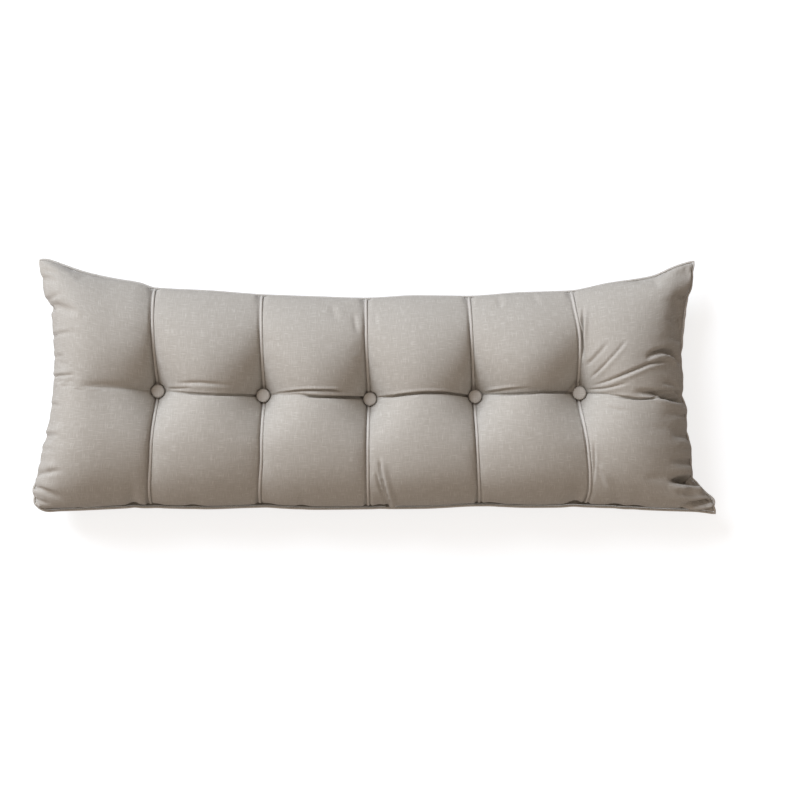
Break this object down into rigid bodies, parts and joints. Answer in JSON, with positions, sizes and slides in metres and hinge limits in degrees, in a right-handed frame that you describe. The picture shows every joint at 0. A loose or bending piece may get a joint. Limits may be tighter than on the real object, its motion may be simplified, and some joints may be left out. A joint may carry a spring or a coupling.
{
  "type": "headboard cushion",
  "caption": "Long filled cushion with upright piped channels and a row of covered buttons, to lean on in front of a headboard.",
  "frame": {"origin": "middle of the surface that the cushion rests on, under the middle of its bounding box", "axes": "+Z out of the cushion's face, +X along the cushion, +Y towards its upper edge"},
  "size_m": [1.4004, 0.5173, 0.1843],
  "materials": {
    "linen_cover": "matt plain weave with fine slubs, warm grey",
    "linen_piping": "matt plain weave cut on the bias round a cord, warm grey",
    "linen_button": "matt plain weave stretched over a button, warm grey"
  },
  "bodies": {
    "root": {"cushion": "linen_cover", "edge_piping": "linen_piping", "seam_piping_1": "linen_piping", "seam_piping_2": "linen_piping", "seam_piping_3": "linen_piping", "seam_piping_4": "linen_piping", "seam_piping_5": "linen_piping", "button_1": "linen_button", "button_2": "linen_button", "button_3": "linen_button", "button_4": "linen_button", "button_5": "linen_button"}
  },
  "joints": []
}
